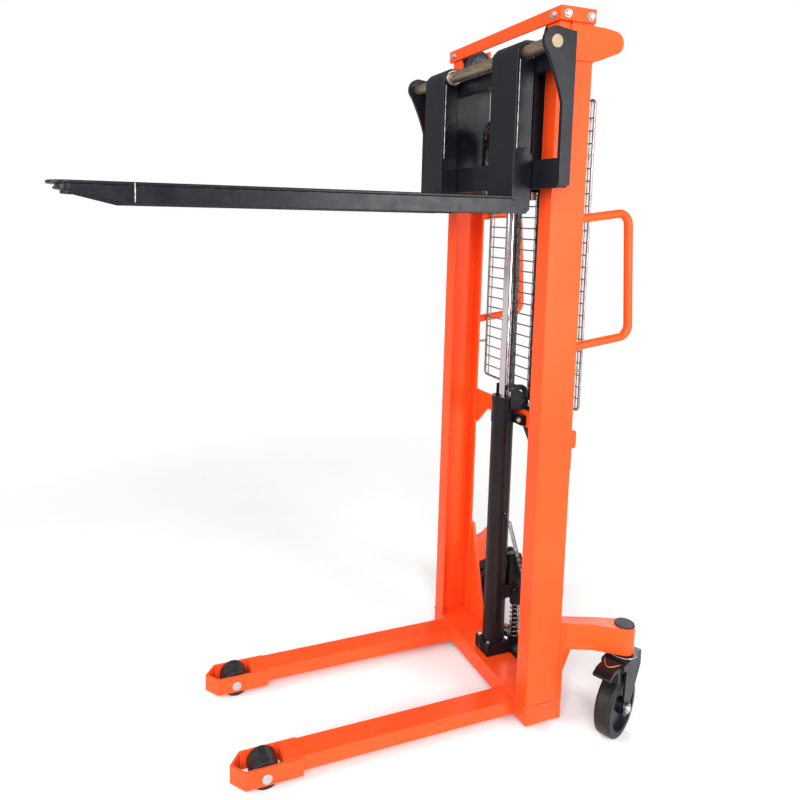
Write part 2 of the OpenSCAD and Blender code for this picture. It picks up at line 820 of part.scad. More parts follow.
module caster_tyre(side) {
    half = caster_wheel_w / 2;
    round = 9;
    color(rubber) at_swivel(side) translate([0, -caster_trail, wheel_r]) rotate([0, 90, 0])
        rotate_extrude($fn = 96) {
            translate([rim_r, -half]) square([wheel_r - rim_r - round, 2 * half]);
            translate([rim_r, -half + round]) square([wheel_r - rim_r, 2 * half - 2 * round]);
            for (s = [-1, 1]) translate([wheel_r - round, s * (half - round)]) circle(r = round);
        }
}

// Foot brake: a tongue in front of the fork, with a shoe over the tyre
module brake_pedal(side) {
    half = 26;
    shoe_low = wheel_r + 92;
    pin_half = caster_wheel_w / 2 + fork_gap + fork_plate_t;
    color(black) at_swivel(side) {
        rod_x(-half - 2, half + 2, brake_y, brake_z, 13);
        rod_x(-pin_half, pin_half, brake_y, brake_z, brake_pin_d);
        side_block(half, [[brake_y, brake_z - 6], [brake_y, brake_z + 6], [-120, brake_z + 8],
                          [-146, brake_z - 2], [-144, brake_z - 10], [-116, brake_z - 2],
                          [-86, brake_z - 7], [-86, shoe_low], [-70, shoe_low], [-68, brake_z - 7]]);
    }
}

// Solid of half width w whose outline in the YZ plane is given
module side_block(w, outline) {
    side_plate(-w, 2 * w) polygon(outline);
}

// ---- Pump ----

module pump_body() {
    rear = 118;
    wide = 78;
    deck = spring_bottom - 14;
    ear = 5;
    ear_in = 13;
    color(black) {
        block([-38, -34, base_top], [38, 54, block_top]);
        difference() {
            union() {
                block([-wide, 54, base_top], [wide, rear, deck]);
                translate([0, pump_y, deck]) cylinder(h = 14, d = 46);
            }
            translate([0, pump_y, base_top + 2]) cylinder(h = 40, d = plunger_d + 2 * fit);
        }
        for (x = [release_x - ear_in - ear, release_x + ear_in]) side_plate(x, ear)
            polygon([[rear, base_top], [rear, deck], [release_y + 8, release_z + 8],
                     [release_y + 8, release_z - 6], [release_y - 2, base_top]]);
        rod_x(release_x - ear_in, release_x + ear_in, release_y, release_z, 8);
    }
}

module rocker_pin() {
    color(zinc) {
        rod_x(-42, 42, rocker_y, rocker_z, pin_d);
        rod_x(42, 47, rocker_y, rocker_z, pin_d + 8);
    }
}

module pump_spring() {
    coils = 8;
    pitch = (spring_top - spring_bottom) / coils;
    color(zinc) for (i = [0 : coils - 1])
        translate([0, pump_y, spring_bottom + pitch * (i + 0.5)]) rotate_extrude()
            translate([(pump_spring_d - spring_wire) / 2, 0]) circle(d = spring_wire, $fn = 16);
}

module pump_plunger() {
    color(steel) translate([0, pump_y, 0]) {
        translate([0, 0, barrel_bottom()]) cylinder(h = spring_top - barrel_bottom(), d = plunger_d);
        translate([0, 0, spring_top]) cylinder(h = 10, d = pump_spring_d + 4);
    }
}

function barrel_bottom() = spring_bottom - 10;

// Foot lever: a two sided rocker on the pin, a roller on the plunger and an arm to the pedal
module pump_rocker() {
    roller_r = 14;
    roller_z = spring_top + 10 + roller_r;
    inner = 20;
    cheek_t = 8;
    color(black) {
        for (side = [-1, 1]) mirrored(side) difference() {
            side_plate(inner, cheek_t) polygon([[46, 285], [46, 424], [88, 418], [104, 362],
                [121, 346], [112, 250], [92, 236], [62, 248]]);
            rod_x(inner - 1, inner + cheek_t + 1, rocker_y, rocker_z, pin_d + 2 * fit);
        }
        block([-inner, 50, 400], [inner, 86, 412]);
        block([-inner, 104, 262], [inner, 111, 330]);
        rod_x(-inner, inner, pump_y, roller_z, 2 * roller_r);
        rod_x(inner + cheek_t, hook_x + 6, hook_y, hook_z, hook_d);
        side_block(14, [[111, 268], [111, 300], [196, 262], [240, 262], [240, 250], [190, 246]]);
    }
}

module pedal_pad() {
    color(rubber) block([-48, 196, 262], [48, 244, 272]);
}

// Tension spring from the stud on the cylinder to the foot lever
module return_spring() {
    top = [27, 540];
    low = [hook_y, hook_z] + unit(top - [hook_y, hook_z]) * (hook_d / 2 + gap);
    length = norm(top - low);
    lean = atan2(low[0] - top[0], top[1] - low[1]);
    hook = [cylinder_y + 5, stud_z - 4];
    wire = top - hook;
    color(zinc) {
        translate([hook_x, top[0], top[1]]) rotate([lean, 0, 0]) translate([0, 0, -length])
            cylinder(h = length, d = 13);
        translate([hook_x, hook[0], hook[1]]) rotate([atan2(-wire[0], wire[1]), 0, 0])
            cylinder(h = norm(wire) + 3, d = 2.5);
    }
}

module release_lever() {
    hub_half = 12;
    color(black) {
        difference() {
            rod_x(release_x - hub_half, release_x + hub_half, release_y, release_z, 20);
            rod_x(release_x - hub_half - 1, release_x + hub_half + 1, release_y, release_z, 8 + 2 * fit);
        }
        translate([release_x, 0, 0])
            side_block(6, [[126, 117], [137, 113], [216, 190], [238, 196], [238, 204], [210, 200]]);
    }
}

// Children moved from heights above the floor to heights above the origin
module from_floor() {
    translate([0, 0, -base_bottom]) children();
}

from_floor() base_frame();
from_floor() mast(-1);  // mast_left
from_floor() mast(1);  // mast_right
from_floor() leg(-1);  // leg_left
from_floor() leg(1);  // leg_right
from_floor() caster_arm(-1);  // caster_arm_left
from_floor() caster_arm(1);  // caster_arm_right
from_floor() top_beam();
from_floor() mast_ears();
from_floor() rear_ties();
from_floor() frame_bolts();
from_floor() grab_handle(-1);  // grab_handle_left
from_floor() grab_handle(1);  // grab_handle_right
from_floor() mesh_guard();
from_floor() oil_hose();
from_floor() caster_caps();
from_floor() load_roller_axles();
from_floor() cylinder_tube();
from_floor() cylinder_gland();
from_floor() cylinder_clamp();
from_floor() chain_bracket();
from_floor() pump_body();
from_floor() pump_spring();
from_floor() return_spring();
from_floor() rear_chains();
from_floor() rocker_pin();
from_floor() piston_rod();
from_floor() piston();
from_floor() crosshead();
from_floor() sheave_chains();
from_floor() sheaves();
from_floor() carriage_frame();
from_floor() fork_shaft();
from_floor() shaft_collars();
from_floor() roller_studs();
from_floor() chain_anchors();
from_floor() guide_pads();
from_floor() front_chains();
from_floor() carriage_roller(-1, upper_roller_z);  // roller_upper_left
from_floor() carriage_roller(1, upper_roller_z);  // roller_upper_right
from_floor() carriage_roller(-1, lower_roller_z);  // roller_lower_left
from_floor() carriage_roller(1, lower_roller_z);  // roller_lower_right
from_floor() fork(-1);  // fork_left
from_floor() fork(1);  // fork_right
from_floor() load_roller(-1);  // load_roller_left
from_floor() load_roller(1);  // load_roller_right
from_floor() caster_fork(-1);  // caster_fork_left
from_floor() caster_fork(1);  // caster_fork_right
from_floor() caster_axle(-1);  // caster_axle_left
from_floor() caster_axle(1);  // caster_axle_right
from_floor() caster_hub(-1);  // caster_hub_left
from_floor() caster_hub(1);  // caster_hub_right
from_floor() caster_tyre(-1);  // caster_tyre_left
from_floor() caster_tyre(1);  // caster_tyre_right
from_floor() brake_pedal(-1);  // brake_pedal_left
from_floor() brake_pedal(1);  // brake_pedal_right
from_floor() pump_rocker();
from_floor() pedal_pad();
from_floor() pump_plunger();
from_floor() release_lever();
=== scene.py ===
import json
import math

import bmesh
import bpy
from mathutils import Matrix, Vector


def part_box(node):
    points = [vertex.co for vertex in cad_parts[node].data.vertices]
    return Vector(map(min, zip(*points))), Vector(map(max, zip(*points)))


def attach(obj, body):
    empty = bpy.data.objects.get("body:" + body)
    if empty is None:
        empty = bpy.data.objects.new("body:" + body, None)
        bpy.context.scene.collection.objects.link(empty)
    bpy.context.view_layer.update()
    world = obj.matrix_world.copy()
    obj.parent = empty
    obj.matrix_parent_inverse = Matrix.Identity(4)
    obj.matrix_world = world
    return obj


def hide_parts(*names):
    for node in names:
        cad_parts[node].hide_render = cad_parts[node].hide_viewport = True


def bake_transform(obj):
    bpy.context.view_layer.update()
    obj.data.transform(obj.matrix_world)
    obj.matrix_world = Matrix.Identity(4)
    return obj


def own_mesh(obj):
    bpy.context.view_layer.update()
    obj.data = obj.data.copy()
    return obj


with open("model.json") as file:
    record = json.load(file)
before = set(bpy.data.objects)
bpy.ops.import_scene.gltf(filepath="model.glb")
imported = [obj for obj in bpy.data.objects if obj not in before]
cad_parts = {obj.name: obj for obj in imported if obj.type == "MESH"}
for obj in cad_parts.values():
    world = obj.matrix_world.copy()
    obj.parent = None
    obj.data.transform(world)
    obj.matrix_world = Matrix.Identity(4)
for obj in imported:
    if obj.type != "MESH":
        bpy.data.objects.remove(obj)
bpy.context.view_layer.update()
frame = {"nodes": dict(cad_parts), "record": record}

MM = 0.001
FLOOR = -0.026  # height of the floor in the row frame, in metres
FILL_FRONT, FILL_REAR = 0.50, 0.14  # strength of the white surroundings as a light
TAU = 2 * math.pi

# Main dimensions of the frame in millimetres, with heights above the floor
MAST_HALF = 294.0
HALF_DEPTH = 56.0
BASE_TOP = 84.0
LEG_X, LEG_HALF, LEG_TOP = 199.5, 35.5, 72.0

BEVEL_FROM = 32.0  # edges sharper than this many degrees get rounded


def at(x, y, z):
    """A point given in millimetres, with its height above the floor, in the row frame."""
    return Vector((x * MM, y * MM, z * MM + FLOOR))


def span(node):
    """Lowest and highest corners of a CAD node, in millimetres, with heights above the floor."""
    low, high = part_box(node)
    shift = Vector((0, 0, FLOOR))
    return (low - shift) / MM, (high - shift) / MM


# ---------------------------------------------------------------- materials

def node(tree, kind, **inputs):
    """Adds a shader node and sets the inputs named, with _ for a blank."""
    made = tree.nodes.new(kind)
    for key, value in inputs.items():
        name = key.replace("_", " ")
        if name in made.inputs:
            made.inputs[name].default_value = value
        else:
            setattr(made, key, value)
    return made


def noise(tree, vector, scale, detail=4.0, rough=0.55):
    """Noise from 0 to 1 at a point."""
    made = node(tree, "ShaderNodeTexNoise", Scale=scale, Detail=detail, Roughness=rough)
    tree.links.new(vector, made.inputs["Vector"])
    return made.outputs["Fac"]


def ramp(tree, value, low, high, out_low=0.0, out_high=1.0):
    """Maps the range from low to high onto another range."""
    made = node(tree, "ShaderNodeMapRange")
    made.inputs["From Min"].default_value = low
    made.inputs["From Max"].default_value = high
    made.inputs["To Min"].default_value = out_low
    made.inputs["To Max"].default_value = out_high
    tree.links.new(value, made.inputs["Value"])
    return made.outputs["Result"]


def blend_colour(tree, factor, a, b):
    """Mixes two colours, each a tuple or a shader output."""
    made = tree.nodes.new("ShaderNodeMix")
    made.data_type = "RGBA"
    tree.links.new(factor, made.inputs["Factor"])
    for socket, value in ((made.inputs[6], a), (made.inputs[7], b)):
        if isinstance(value, tuple):
            socket.default_value = (*value, 1.0)
        else:
            tree.links.new(value, socket)
    return made.outputs[2]


def maths(tree, operation, a, b):
    """One arithmetic step on two values, each a number or a shader output, held between 0 and 1."""
    made = tree.nodes.new("ShaderNodeMath")
    made.operation = operation
    made.use_clamp = True
    for socket, value in ((made.inputs[0], a), (made.inputs[1], b)):
        if isinstance(value, (int, float)):
            socket.default_value = value
        else:
            tree.links.new(value, socket)
    return made.outputs[0]


def surface(name, base, shade, rough=(0.3, 0.45), metallic=0.0, coat=0.0, patch=5.0, grain=700.0,
            bump=0.05, stretch=(1, 1, 1), rubbed_and_highlit_edge=None, rubbed_and_highlit_share=0.5, specular=0.5, streak=None, dust=0.0):
    """Procedural finish: patchy colour, uneven roughness, a fine grain, and lighter edges that are partly
    worn paint and partly a painted highlight.
    """
    mat = bpy.data.materials.new(name)
    mat.use_nodes = True
    tree = mat.node_tree
    tree.nodes.clear()
    link = tree.links.new
    out = node(tree, "ShaderNodeOutputMaterial")
    shader = node(tree, "ShaderNodeBsdfPrincipled")
    link(shader.outputs[0], out.inputs[0])
    coords = node(tree, "ShaderNodeTexCoord").outputs["Object"]
    mapping = node(tree, "ShaderNodeMapping")
    mapping.inputs["Scale"].default_value = stretch
    link(coords, mapping.inputs["Vector"])
    vector = mapping.outputs[0]
    patches = ramp(tree, noise(tree, coords, patch, 5.0), 0.35, 0.68)
    colour = blend_colour(tree, patches, base, shade)
    smudge = noise(tree, coords, patch * 4.3, 6.0, 0.62)
    roughness = ramp(tree, smudge, 0.3, 0.7, rough[0], rough[1])
    fine = noise(tree, vector, grain, 3.0, 0.5)
    if streak is not None:
        lines = ramp(tree, fine, 0.42, 0.6)
        colour = blend_colour(tree, maths(tree, "MULTIPLY", lines, 0.55), colour, streak)
    if dust:
        high = node(tree, "ShaderNodeSeparateXYZ")
        link(coords, high.inputs[0])
        low = ramp(tree, high.outputs[2], FLOOR, FLOOR + 0.35, dust, 0.0)
        speck = ramp(tree, noise(tree, coords, 38.0, 8.0, 0.7), 0.42, 0.66)
        colour = blend_colour(tree, maths(tree, "MULTIPLY", low, speck), colour, (0.32, 0.27, 0.22))
    # Chipped edges get a lighter colour: partly wear, partly a painted highlight along the rounded edges.
    if rubbed_and_highlit_edge is not None:
        soft = node(tree, "ShaderNodeBevel", Radius=0.0022)
        soft.samples = 4
        geometry = node(tree, "ShaderNodeNewGeometry")
        dot = tree.nodes.new("ShaderNodeVectorMath")
        dot.operation = "DOT_PRODUCT"
        link(soft.outputs[0], dot.inputs[0])
        link(geometry.outputs["Normal"], dot.inputs[1])
        edge = ramp(tree, dot.outputs["Value"], 0.985, 0.90)
        chips = ramp(tree, noise(tree, coords, 85.0, 8.0, 0.7), 0.5, 0.62)
        rubbed_and_highlit_marks = maths(tree, "MULTIPLY", maths(tree, "MULTIPLY", edge, chips), rubbed_and_highlit_share)
        colour = blend_colour(tree, rubbed_and_highlit_marks, colour, rubbed_and_highlit_edge)
        roughness = maths(tree, "ADD", roughness, maths(tree, "MULTIPLY", rubbed_and_highlit_marks, 0.2))
    link(colour, shader.inputs["Base Color"])
    link(roughness, shader.inputs["Roughness"])
    shader.inputs["Metallic"].default_value = metallic
    shader.inputs["Coat Weight"].default_value = coat
    shader.inputs["Coat Roughness"].default_value = 0.12
    shader.inputs["Specular IOR Level"].default_value = specular
    relief = node(tree, "ShaderNodeBump", Strength=bump, Distance=0.0006)
    link(maths(tree, "ADD", fine, maths(tree, "MULTIPLY", smudge, 0.6)), relief.inputs["Height"])
    link(relief.outputs[0], shader.inputs["Normal"])
    return mat


# The light orange given for the chipped edges is a painted highlight along the rounded edges.
ORANGE = surface("orange_paint", (0.84, 0.080, 0.012), (0.80, 0.066, 0.009), rough=(0.32, 0.44),
                 coat=0.04, patch=3.0, grain=520, bump=0.07, rubbed_and_highlit_edge=(0.95, 0.30, 0.16), rubbed_and_highlit_share=0.5,
                 specular=0.22, dust=0.05)
BLACK = surface("black_paint", (0.0045, 0.005, 0.008), (0.008, 0.0085, 0.012), rough=(0.26, 0.42),
                patch=6.0, grain=640, bump=0.10, rubbed_and_highlit_edge=(0.17, 0.17, 0.18), rubbed_and_highlit_share=0.6, specular=0.24)
PUMP_BLACK = surface("cast_black", (0.0055, 0.005, 0.0055), (0.011, 0.009, 0.009), rough=(0.38, 0.58),
                     patch=14.0, grain=420, bump=0.35, rubbed_and_highlit_edge=(0.16, 0.14, 0.13), rubbed_and_highlit_share=0.6, specular=0.25)
TUBE_BLACK = surface("tube_black", (0.0075, 0.0035, 0.004), (0.012, 0.006, 0.006), rough=(0.30, 0.45),
                     patch=8.0, grain=520, bump=0.12, rubbed_and_highlit_edge=(0.14, 0.12, 0.11), rubbed_and_highlit_share=0.5, specular=0.26)
ZINC = surface("zinc", (0.55, 0.56, 0.58), (0.42, 0.43, 0.45), rough=(0.26, 0.44), metallic=0.92,
               patch=40, grain=900, bump=0.12, rubbed_and_highlit_edge=(0.75, 0.75, 0.76), rubbed_and_highlit_share=0.4)
STEEL = surface("steel", (0.30, 0.30, 0.31), (0.19, 0.19, 0.20), rough=(0.28, 0.45), metallic=0.95,
                patch=25, grain=600, bump=0.12, stretch=(0.15, 1, 1), streak=(0.42, 0.42, 0.43),
                rubbed_and_highlit_edge=(0.6, 0.6, 0.6))
# The pale edge colour on the links, given a high share, is mainly a painted highlight on the plates.
CHAIN = surface("chain_steel", (0.085, 0.078, 0.074), (0.045, 0.040, 0.036), rough=(0.30, 0.5),
                metallic=0.9, patch=60, grain=800, bump=0.15, rubbed_and_highlit_edge=(0.52, 0.50, 0.47), rubbed_and_highlit_share=0.9)
CHROME = surface("chrome", (0.62, 0.62, 0.64), (0.55, 0.55, 0.58), rough=(0.07, 0.16), metallic=1.0,
                 patch=9, grain=500, bump=0.02, stretch=(0.2, 0.2, 6))
BARE = surface("bare_steel", (0.24, 0.175, 0.115), (0.14, 0.10, 0.066), rough=(0.30, 0.5),
               metallic=0.75, patch=22, grain=500, bump=0.12, stretch=(0.1, 1, 1),
               streak=(0.38, 0.31, 0.23))
TYRE = surface("tyre_rubber", (0.006, 0.0052, 0.0055), (0.012, 0.010, 0.010), rough=(0.34, 0.52),
               patch=20, grain=260, bump=0.25, specular=0.24, rubbed_and_highlit_edge=(0.05, 0.048, 0.045), dust=0.06)
PAD = surface("pad_rubber", (0.010, 0.010, 0.011), (0.018, 0.018, 0.020), rough=(0.5, 0.7), patch=30,
              grain=420, bump=0.3, specular=0.4)
NYLON = surface("roller_nylon", (0.008, 0.008, 0.010), (0.015, 0.015, 0.018), rough=(0.32, 0.5),
                patch=16, grain=380, bump=0.12, specular=0.3, rubbed_and_highlit_edge=(0.10, 0.10, 0.11), dust=0.1)
CAP = surface("cap_plastic", (0.019, 0.019, 0.026), (0.028, 0.028, 0.036), rough=(0.45, 0.6), patch=30,
              grain=500, bump=0.2, specular=0.25)
WELD = surface("orange_weld", (0.82, 0.070, 0.014), (0.68, 0.045, 0.010), rough=(0.3, 0.5), coat=0.2,
               patch=60, grain=380, bump=0.5)
# Pale grey weld colour: bare weld on the nose seam, and a painted glint of light on the bead along each
# upright's outer edge.
BARE_BEAD_AND_GLINT = surface("bare_bead_and_glint", (0.46, 0.45, 0.44), (0.10, 0.10, 0.11), rough=(0.28, 0.45),
                    metallic=0.6, patch=90, grain=420, bump=0.4)
DARK_STEEL = surface("dark_steel", (0.050, 0.050, 0.055), (0.026, 0.026, 0.030), rough=(0.28, 0.45),
                     metallic=0.85, patch=30, grain=600, bump=0.15, rubbed_and_highlit_edge=(0.35, 0.35, 0.36), rubbed_and_highlit_share=0.7)
GUARD = surface("guard_zinc", (0.34, 0.335, 0.33), (0.20, 0.195, 0.19), rough=(0.28, 0.45),
                metallic=0.85, patch=40, grain=900, bump=0.12, rubbed_and_highlit_edge=(0.6, 0.6, 0.6), rubbed_and_highlit_share=0.4)
BLACK_WELD = surface("black_weld", (0.007, 0.007, 0.010), (0.015, 0.015, 0.019), rough=(0.32, 0.5),
                     patch=60, grain=380, bump=0.5)
SPRING = surface("spring_steel", (0.36, 0.33, 0.31), (0.22, 0.20, 0.19), rough=(0.22, 0.38),
                 metallic=0.95, patch=50, grain=900, bump=0.1, rubbed_and_highlit_edge=(0.65, 0.65, 0.65))
TAN = surface("tan_spring", (0.34, 0.24, 0.14), (0.24, 0.17, 0.10), rough=(0.35, 0.5), metallic=0.6,
              patch=40, grain=600, bump=0.1)
BRASS = surface("brass", (0.55, 0.36, 0.14), (0.42, 0.26, 0.10), rough=(0.28, 0.42), metallic=0.95,
                patch=50, grain=700, bump=0.08)


# ---------------------------------------------------------------- mesh helpers

def added(obj):
    """Puts an object in the scene."""
    bpy.context.scene.collection.objects.link(obj)
    return obj


def baked(obj, sharp=48.0):
    """Applies the modifiers and keeps smooth shading except over sharp edges."""
    bpy.context.view_layer.update()
    graph = bpy.context.evaluated_depsgraph_get()
    mesh = bpy.data.meshes.new_from_object(obj.evaluated_get(graph))
    mesh.name = obj.name
    obj.modifiers.clear()
    obj.data = mesh
    mesh.shade_smooth()
    mesh.set_sharp_from_angle(angle=math.radians(sharp))
    return obj


def piece(name, bm, body, mat, bevel=0.0, segments=2, replaces=(), sharp=48.0):
    """Turns a bmesh (metres, row frame) into a piece, which rides on a body if one is given."""
    bmesh.ops.recalc_face_normals(bm, faces=bm.faces)
    mesh = bpy.data.meshes.new(name)
    bm.to_mesh(mesh)
    bm.free()
    mesh.materials.append(mat)
    obj = added(bpy.data.objects.new(name, mesh))
    if bevel:
        made = obj.modifiers.new("edges", "BEVEL")
        made.width = bevel * MM
        made.segments = segments
        made.limit_method = "ANGLE"
        made.angle_limit = math.radians(BEVEL_FROM)
        made.use_clamp_overlap = True
    baked(obj, sharp)
    weighted = obj.modifiers.new("normals", "WEIGHTED_NORMAL")
    weighted.keep_sharp = True
    if body is not None:
        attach(obj, body)
    if replaces:
        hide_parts(*replaces)
    return obj


BODY_OF = {n: b for b, names in frame["record"]["behaviour"]["bodies"].items() for n in names}


def rebuilt(cad, mat, bevel, segments=2):
    """A CAD node's shape again, as clean faces with rounded edges."""
    bm = bmesh.new()
    bm.from_mesh(frame["nodes"][cad].data)
    bmesh.ops.remove_doubles(bm, verts=bm.verts, dist=2e-6)
    bmesh.ops.dissolve_limit(bm, angle_limit=math.radians(0.6), verts=bm.verts, edges=bm.edges)
    bmesh.ops.dissolve_degenerate(bm, edges=bm.edges, dist=2e-6)
    return piece(cad + "_looks", bm, BODY_OF[cad], mat, bevel, segments, (cad,))


def rounded(points, radius, steps=6, closed=False):
    """A path with its corners rounded. Works on 2D and 3D Vectors."""
    count = len(points)
    result = []
    for i, point in enumerate(points):
        if not closed and i in (0, count - 1):
            result.append(point.copy())
            continue
        before = (points[i - 1] - point)
        after = (points[(i + 1) % count] - point)
        reach = min(before.length, after.length) * 0.499
        u, v = before.normalized(), after.normalized()
        half = math.acos(max(-1.0, min(1.0, u.dot(v)))) / 2
        if abs(half - math.pi / 2) < 1e-4:
            result.append(point.copy())
            continue
        cut = min(radius / math.tan(half), reach)
        r = cut * math.tan(half)
        centre = point + (u + v).normalized() * (r / math.sin(half))
        a, b = point + u * cut - centre, point + v * cut - centre
        total = math.acos(max(-1.0, min(1.0, a.normalized().dot(b.normalized()))))
        for k in range(steps + 1):
            t = k / steps
            mixed = (a * math.sin((1 - t) * total) + b * math.sin(t * total)) / math.sin(total)
            result.append(centre + mixed)
    return result


def sweep(bm, points, radius, sides=14, closed=False):
    """A round bar along a path in metres. radius is a number or a function of the distance along it."""
    tangents = []
    count = len(points)
    for i in range(count):
        before = points[i - 1] if closed or i else points[i]
        after = points[(i + 1) % count] if closed or i < count - 1 else points[i]
        tangents.append((after - before).normalized())
    normal = tangents[0].orthogonal().normalized()
    rings, travelled = [], 0.0
    for i, point in enumerate(points):
        if i:
            travelled += (point - points[i - 1]).length
            turn = tangents[i - 1].rotation_difference(tangents[i])
            normal = turn @ normal
        side = tangents[i].cross(normal).normalized()
        normal = side.cross(tangents[i]).normalized()
        r = radius(travelled) if callable(radius) else radius
        spokes = [normal * math.cos(TAU * k / sides) + side * math.sin(TAU * k / sides) for k in range(sides)]
        rings.append([bm.verts.new(point + spoke * r) for spoke in spokes])
    pairs = list(zip(rings, rings[1:])) + ([(rings[-1], rings[0])] if closed else [])
    for one, two in pairs:
        for k in range(sides):
            bm.faces.new((one[k], one[(k + 1) % sides], two[(k + 1) % sides], two[k]))
    if not closed:
        bm.faces.new(rings[0][::-1])
        bm.faces.new(rings[-1])


def lathe(bm, centre, axis, profile, steps=48):
    """Turns a closed profile of (height, radius) in millimetres about an axis through centre."""
    axis = Vector(axis).normalized()
    one = axis.orthogonal().normalized()
    two = axis.cross(one)
    rings = []
    for k in range(steps):
        out = one * math.cos(TAU * k / steps) + two * math.sin(TAU * k / steps)
        rings.append([None if r < 1e-6 else bm.verts.new(centre + axis * (h * MM) + out * (r * MM))
                      for h, r in profile])
    hubs = {i: bm.verts.new(centre + axis * (h * MM)) for i, (h, r) in enumerate(profile) if r < 1e-6}
    for k in range(steps):
        here, there = rings[k], rings[(k + 1) % steps]
        for i in range(len(profile)):
            j = (i + 1) % len(profile)
            a, b = here[i] or hubs[i], here[j] or hubs[j]
            c, d = there[j] or hubs[j], there[i] or hubs[i]
            corners = [v for n, v in enumerate((a, b, c, d)) if v not in (a, b, c, d)[:n]]
            if len(corners) > 2:
                bm.faces.new(corners)


def drum(bm, centre, axis, length, diameter, edge=1.0, steps=40):
    """A solid round bar with chamfered ends, from centre along axis."""
    r = diameter / 2
    half_profile = [(0, 0), (0, r - edge), (edge, r), (length - edge, r), (length, r - edge), (length, 0)]
    lathe(bm, centre, axis, half_profile, steps)


def prism(bm, outline, place, low, high):
    """A flat outline of (u, v) raised between two offsets; place turns (u, v, w) into a point."""
    bottom = [bm.verts.new(place(u, v, low)) for u, v in outline]
    top = [bm.verts.new(place(u, v, high)) for u, v in outline]
    bm.faces.new(bottom[::-1])
    bm.faces.new(top)
    for i in range(len(outline)):
        j = (i + 1) % len(outline)
        bm.faces.new((bottom[i], bottom[j], top[j], top[i]))


def holed_prism(bm, outline, hole, place, low, high):
    """As prism, with one hole whose outline is given."""
    levels = []
    for offset in (low, high):
        loops = [[bm.verts.new(place(u, v, offset)) for u, v in loop] for loop in (outline, hole)]
        edges = [bm.edges.new((loop[i], loop[(i + 1) % len(loop)]))
                 for loop in loops for i in range(len(loop))]
        bmesh.ops.triangle_fill(bm, use_beauty=True, use_dissolve=False, edges=edges)
        levels.append(loops)
    for one, two in zip(levels[0], levels[1]):
        for i in range(len(one)):
            j = (i + 1) % len(one)
            bm.faces.new((one[i], one[j], two[j], two[i]))


def circle(u, v, r, steps=32, start=0.0, turn=TAU):
    """Points of a circle, or of an arc with both its ends."""
    count = steps if turn == TAU else steps + 1
    angles = [start + turn * k / steps for k in range(count)]
    return [(u + r * math.cos(a), v + r * math.sin(a)) for a in angles]


def hexagon_bolt(bm, centre, axis, across=17.0, height=8.0, washer=True):
    """A hexagon head with its chamfer, on a washer unless told otherwise."""
    axis = Vector(axis).normalized()
    start = 0.0
    if washer:
        drum(bm, centre, axis, 2.2, across * 1.45, 0.4, 32)
        start = 2.2
    one = axis.orthogonal().normalized()
    two = axis.cross(one)
    levels = ((start, 0.97), (start + 0.7, 1.0), (height - 1.2, 1.0), (height, 0.86))
    rings = []
    for level, share_of_width in levels:
        corners = [one * math.cos(TAU * k / 6) + two * math.sin(TAU * k / 6) for k in range(6)]
        reach = across / math.sqrt(3) * share_of_width
        rings.append([bm.verts.new(centre + axis * level * MM + corner * reach * MM) for corner in corners])
    for low, high in zip(rings, rings[1:]):
        for k in range(6):
            bm.faces.new((low[k], low[(k + 1) % 6], high[(k + 1) % 6], high[k]))
    bm.faces.new(rings[0][::-1])
    bm.faces.new(rings[-1])


def helix(centre, axis, radius, length, turns, steps=22, ends=0.75):
    """Points of a coil spring in metres. The end coils lie flat."""
    axis = Vector(axis).normalized()
    one = axis.orthogonal().normalized()
    two = axis.cross(one)
    total = int(turns * steps)
    points = []
    for k in range(total + 1):
        t = k / steps
        inner = (t - ends) / (turns - 2 * ends)
        rise = max(0.0, min(1.0, inner))
        points.append(centre + axis * (length * rise * MM)
                      + (one * math.cos(TAU * t) + two * math.sin(TAU * t)) * radius * MM)
    return points


def seam(side, x, y, z):
    """The two ends of a straight seam, one of x, y and z being a pair. side mirrors it across the object."""
    ends = [[v[k] if isinstance(v, tuple) else v for v in (x, y, z)] for k in (0, 1)]
    return [(side * a, b, c) for a, b, c in ends]


def weld(name, seams, body, mat=None, size=3.2):
    """Rippled weld beads along straight seams, given in millimetres."""
    pitch = 0.0052

    def bead(distance):
        return size * MM * (0.86 + 0.14 * abs(math.sin(distance / pitch * math.pi)))

    bm = bmesh.new()
    for ends in seams:
        a, b = (at(*end) for end in ends)
        count = max(2, int((b - a).length / 0.0016))
        sweep(bm, [a.lerp(b, k / count) for k in range(count)] + [b], bead, sides=8)
    return piece(name, bm, body, mat or WELD, sharp=80)


# ---------------------------------------------------------------- frame

for cad, width in (("base_frame", 2.0), ("mast_left", 2.4), ("mast_right", 2.4), ("leg_left", 2.4),
                   ("leg_right", 2.4), ("caster_arm_left", 2.0), ("caster_arm_right", 2.0), ("top_beam", 1.6),
                   ("mast_ears", 1.2), ("rear_ties", 1.4)):
    rebuilt(cad, ORANGE, width, 3)

for cad in ("cylinder_clamp", "chain_bracket", "crosshead", "carriage_frame", "cylinder_gland"):
    rebuilt(cad, BLACK, 1.2)
rebuilt("cylinder_tube", TUBE_BLACK, 0.8)
for cad in ("pump_body", "pump_rocker", "release_lever"):
    rebuilt(cad, PUMP_BLACK, 1.8, 3)
for cad in ("roller_upper_left", "roller_upper_right", "roller_lower_left", "roller_lower_right",
            "guide_pads", "piston"):
    rebuilt(cad, STEEL, 0.9)
for cad in ("sheaves", "roller_studs", "pump_plunger"):
    rebuilt(cad, DARK_STEEL, 0.9)
rebuilt("rocker_pin", DARK_STEEL, 1.0)
for cad in ("load_roller_axles", "shaft_collars", "caster_axle_left", "caster_axle_right", "chain_anchors"):
    rebuilt(cad, ZINC, 1.0)
rebuilt("piston_rod", CHROME, 0.6)
rebuilt("fork_shaft", BARE, 1.5)
rebuilt("caster_caps", CAP, 2.0, 3)
rebuilt("pedal_pad", PAD, 2.5, 3)
